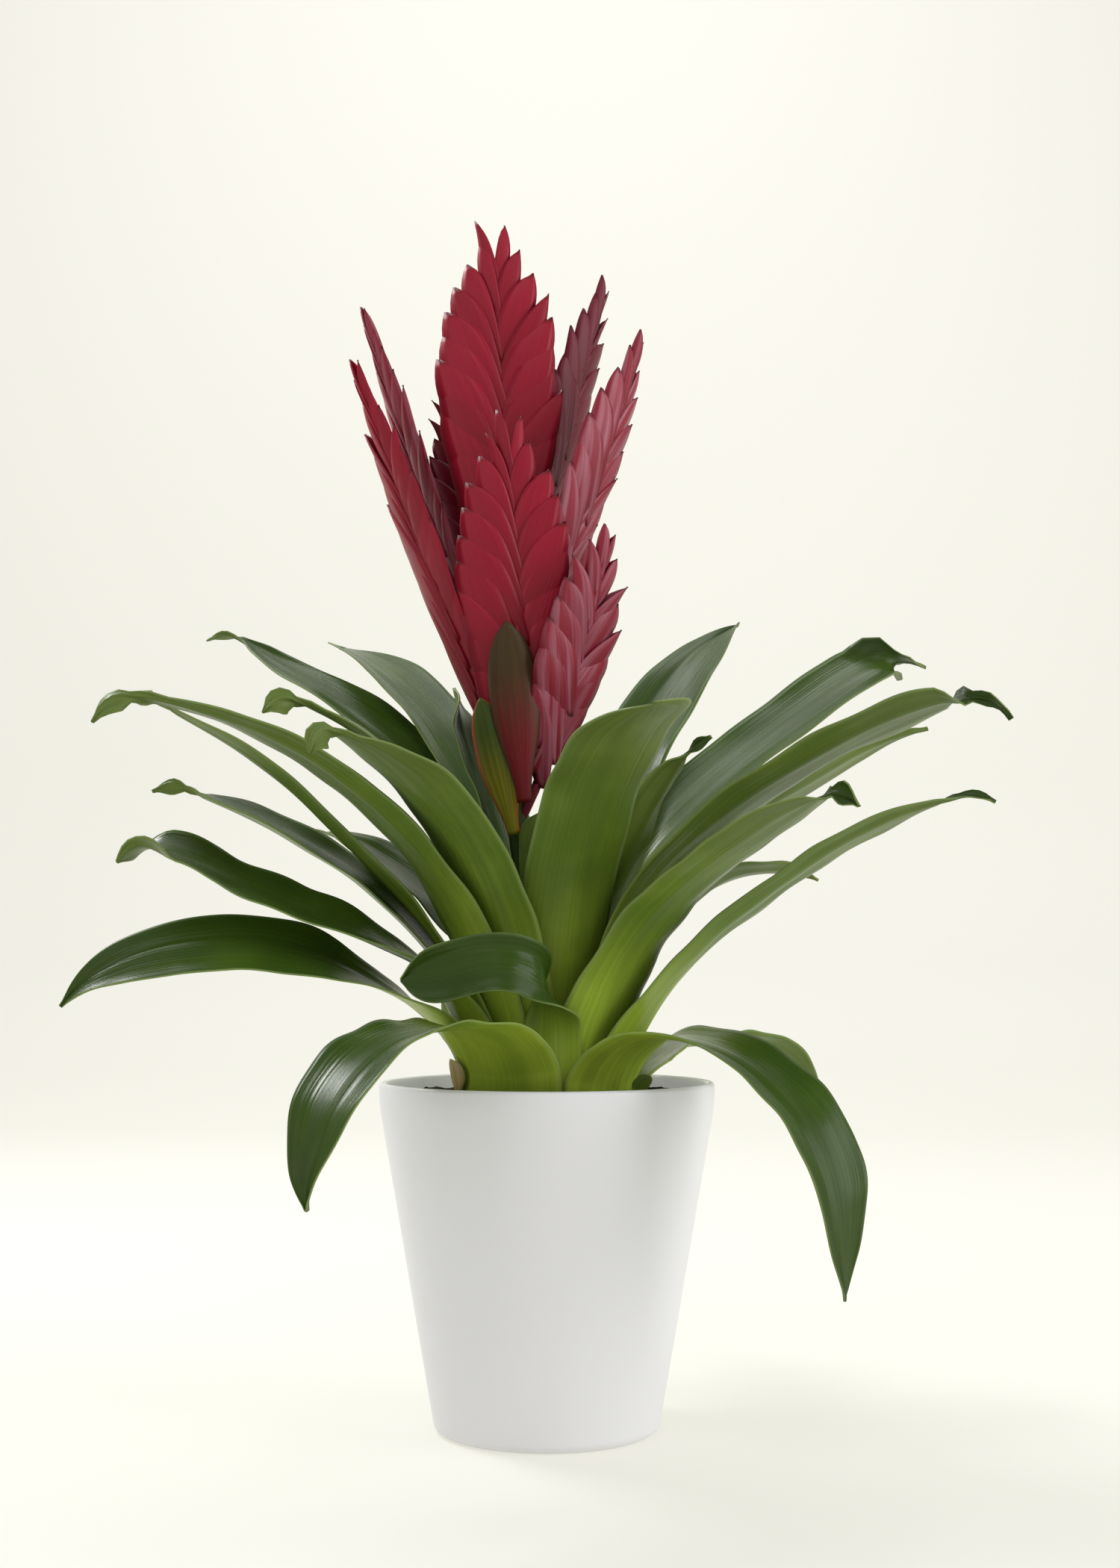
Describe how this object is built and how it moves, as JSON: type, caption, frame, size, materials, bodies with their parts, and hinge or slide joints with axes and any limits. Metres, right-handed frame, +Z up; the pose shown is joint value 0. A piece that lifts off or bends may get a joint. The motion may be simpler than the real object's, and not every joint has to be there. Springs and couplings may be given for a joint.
{
  "type": "potted bromeliad",
  "caption": "Flowering bromeliad in a tapered round pot: arching strap leaves in a rosette round a branched spike of flat overlapping bracts.",
  "frame": {"origin": "centre of the pot's underside", "axes": "+Z up the plant, -Y towards the viewer in front, +X to the viewer's right"},
  "size_m": [0.3981, 0.3468, 0.5457],
  "materials": {
    "white_glaze": "smooth white glaze",
    "potting_soil": "crumbly, matt, near black",
    "leaf_green": "waxy leaf, glossy above and matt below",
    "stem_green": "smooth green stalk",
    "bract_red": "waxy red bract with a pink sheen",
    "bract_green_red": "waxy bract, green shading to red",
    "dry_sheath": "dry papery old leaf base"
  },
  "bodies": {
    "root": {"bract_front": "bract_green_red", "bract_left": "bract_green_red", "flower_spike_back": "bract_red", "flower_spike_front": "bract_red", "flower_spike_front_right": "bract_red", "flower_spike_left_back": "bract_red", "flower_spike_left_high": "bract_red", "flower_spike_left_low": "bract_red", "flower_spike_right_back": "bract_red", "flower_spike_right_high": "bract_red", "flower_spike_right_low": "bract_red", "flower_spike_top": "bract_red", "flower_stem": "stem_green", "leaf_back": "leaf_green", "leaf_back_left": "leaf_green", "leaf_back_left_low": "leaf_green", "leaf_back_left_upright": "leaf_green", "leaf_back_outer": "leaf_green", "leaf_back_right_drooping": "leaf_green", "leaf_back_right_low": "leaf_green", "leaf_back_right_upright": "leaf_green", "leaf_front_folded": "leaf_green", "leaf_front_left": "leaf_green", "leaf_front_left_drooping": "leaf_green", "leaf_front_left_high": "leaf_green", "leaf_front_right_broad": "leaf_green", "leaf_front_right_drooping": "leaf_green", "leaf_front_upright": "leaf_green", "leaf_inner_front": "leaf_green", "leaf_inner_left": "leaf_green", "leaf_left_fourth": "leaf_green", "leaf_left_high": "leaf_green", "leaf_left_long": "leaf_green", "leaf_left_low": "leaf_green", "leaf_left_second": "leaf_green", "leaf_left_third": "leaf_green", "leaf_right_dark": "leaf_green", "leaf_right_hidden": "leaf_green", "leaf_right_high": "leaf_green", "leaf_right_long": "leaf_green", "leaf_right_low": "leaf_green", "leaf_right_upright": "leaf_green", "leaf_stub": "leaf_green", "offset_shoot": "leaf_green", "old_sheath": "dry_sheath", "pot": "white_glaze", "potting_soil": "potting_soil"}
  },
  "joints": []
}
